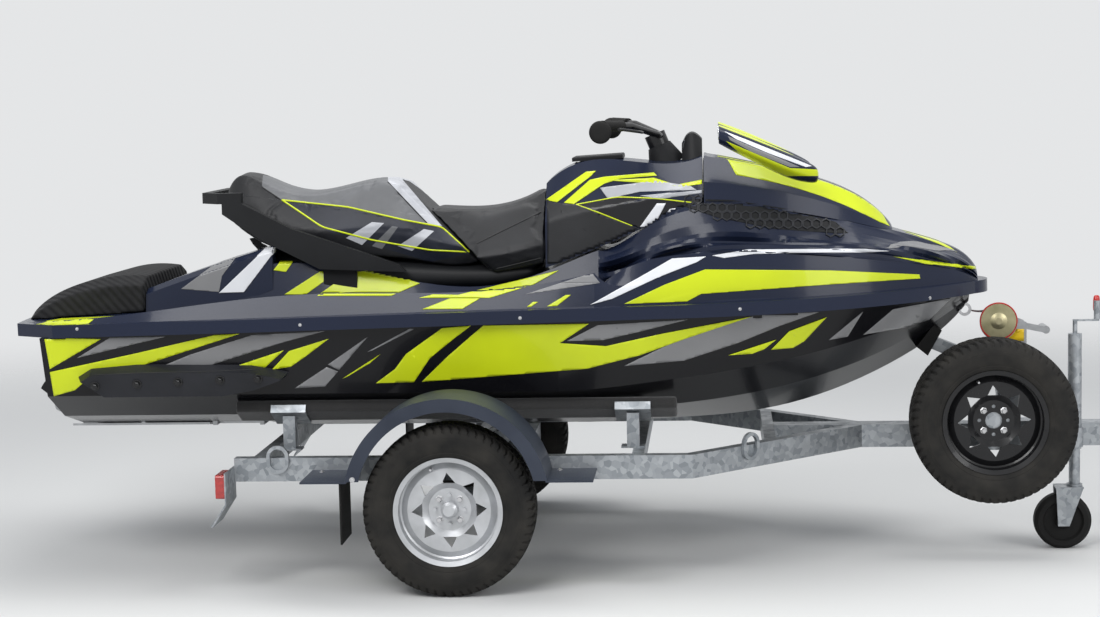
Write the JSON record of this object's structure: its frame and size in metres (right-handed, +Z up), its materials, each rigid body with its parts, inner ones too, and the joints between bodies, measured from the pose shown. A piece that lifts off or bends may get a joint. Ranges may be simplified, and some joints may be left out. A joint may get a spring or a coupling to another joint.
{
  "type": "personal watercraft on a trailer",
  "caption": "Personal watercraft with jet pump, steering nozzle and reverse bucket, held on a road trailer that stands on its jockey wheel.",
  "frame": {"origin": "on the floor under the middle of the bounding box", "axes": "+X forward to the bow and the trailer's coupling, +Y to port, +Z up"},
  "size_m": [4.2481, 1.72, 1.5549],
  "materials": {
    "gelcoat_black": "gloss",
    "gelcoat_navy": "gloss metallic",
    "black_rubber": "matt",
    "black_plastic": "grained",
    "grey_plastic": "grained",
    "mat_foam": "grooved",
    "seat_vinyl": "grained",
    "stainless": "polished",
    "cast_aluminium": "cast",
    "black_metal": "satin",
    "galvanised_steel": "galvanised",
    "road_tyre": "matt",
    "silver_rim": "silver paint",
    "bunk_carpet": "carpet",
    "red_lens": "gloss",
    "zinc_plate": "yellow zinc",
    "wheel_rubber": "matt"
  },
  "bodies": {
    "craft_and_trailer": {"hull": "gelcoat_black", "deck": "gelcoat_navy", "rub_rail": "gelcoat_navy", "front_bin": "black_plastic", "stern_mat": "mat_foam", "rear_cover": "grey_plastic", "seat_rear": "seat_vinyl", "seat_front": "seat_vinyl", "grab_handle": "black_plastic", "tow_hook": "black_plastic", "console": "gelcoat_navy", "dash": "black_plastic", "sponsons": "grey_plastic", "bow_eye": "stainless", "stern_eyes": "stainless", "ride_plate": "cast_aluminium", "intake_grate": "cast_aluminium", "jet_pump": "cast_aluminium", "steering_neck": "black_plastic", "rails": "galvanised_steel", "drawbar": "galvanised_steel", "cross_members": "galvanised_steel", "axle": "galvanised_steel", "fenders": "black_plastic", "mudflaps": "black_rubber", "bunks": "bunk_carpet", "bunk_posts": "galvanised_steel", "light_brackets": "galvanised_steel", "tail_lamps": "red_lens", "tie_loops": "galvanised_steel", "winch_post": "galvanised_steel", "bow_stop": "black_rubber", "winch": "zinc_plate", "spare_tyre": "road_tyre", "spare_rim": "black_metal", "spare_bracket": "galvanised_steel", "jack_tube": "galvanised_steel", "coupling": "black_metal"},
    "wheel_starboard": {"tyre_starboard": "road_tyre", "rim_starboard": "silver_rim"},
    "wheel_port": {"tyre_port": "road_tyre", "rim_port": "silver_rim"},
    "jack_leg": {"jack_inner": "galvanised_steel"},
    "jockey_caster": {"jockey_fork": "galvanised_steel"},
    "jockey_roller": {"jockey_wheel": "wheel_rubber"},
    "steering_bar": {"handlebar": "black_metal", "grips": "black_rubber"},
    "nozzle": {"steering_nozzle": "cast_aluminium"},
    "impeller_shaft": {"impeller": "stainless"},
    "bucket": {"reverse_bucket": "black_plastic"},
    "hood_cover": {"hood": "gelcoat_navy", "mirrors": "black_plastic"},
    "glovebox_door": {"glovebox_lid": "black_plastic"}
  },
  "joints": [
    {"name": "wheel_starboard_spin", "type": "hinge", "parent": "craft_and_trailer", "child": "wheel_starboard", "pos_m": [-0.536, -0.7475, 0.2875], "axis": [0, 1, 0], "continuous": true},
    {"name": "wheel_port_spin", "type": "hinge", "parent": "craft_and_trailer", "child": "wheel_port", "pos_m": [-0.536, 0.7475, 0.2875], "axis": [0, 1, 0], "continuous": true},
    {"name": "jack_lift", "type": "slide", "parent": "craft_and_trailer", "child": "jack_leg", "axis": [0, 0, 1], "range_m": [0, 0.12]},
    {"name": "jockey_swivel", "type": "hinge", "parent": "jack_leg", "child": "jockey_caster", "pos_m": [1.614, -0.092, 0.232], "axis": [0, 0, 1], "continuous": true},
    {"name": "jockey_roll", "type": "hinge", "parent": "jockey_caster", "child": "jockey_roller", "pos_m": [1.572, -0.092, 0.1], "axis": [0, 1, 0], "continuous": true},
    {"name": "steering_turn", "type": "hinge", "parent": "craft_and_trailer", "child": "steering_bar", "pos_m": [0.17, 0, 1.424], "axis": [-0.3746, 0, 0.9272], "range_deg": [-22, 22]},
    {"name": "nozzle_turn", "type": "hinge", "parent": "craft_and_trailer", "child": "nozzle", "pos_m": [-2.018, 0, 0.562], "axis": [0, 0, 1], "range_deg": [-20, 20]},
    {"name": "impeller_spin", "type": "hinge", "parent": "craft_and_trailer", "child": "impeller_shaft", "pos_m": [-1.826, 0, 0.562], "axis": [1, 0, 0], "continuous": true},
    {"name": "bucket_lower", "type": "hinge", "parent": "craft_and_trailer", "child": "bucket", "pos_m": [-2.018, 0, 0.562], "axis": [0, -1, 0], "range_deg": [0, 60]},
    {"name": "hood_open", "type": "hinge", "parent": "craft_and_trailer", "child": "hood_cover", "pos_m": [0.98, 0, 1.14], "axis": [0, 1, 0], "range_deg": [0, 45]},
    {"name": "glovebox_open", "type": "hinge", "parent": "craft_and_trailer", "child": "glovebox_door", "pos_m": [0.032, 0, 1.4155], "axis": [0, 1, 0], "range_deg": [0, 55]}
  ],
  "couplings": [
    {"joint": "nozzle_turn", "follows": "steering_turn", "ratio": 0.9}
  ]
}
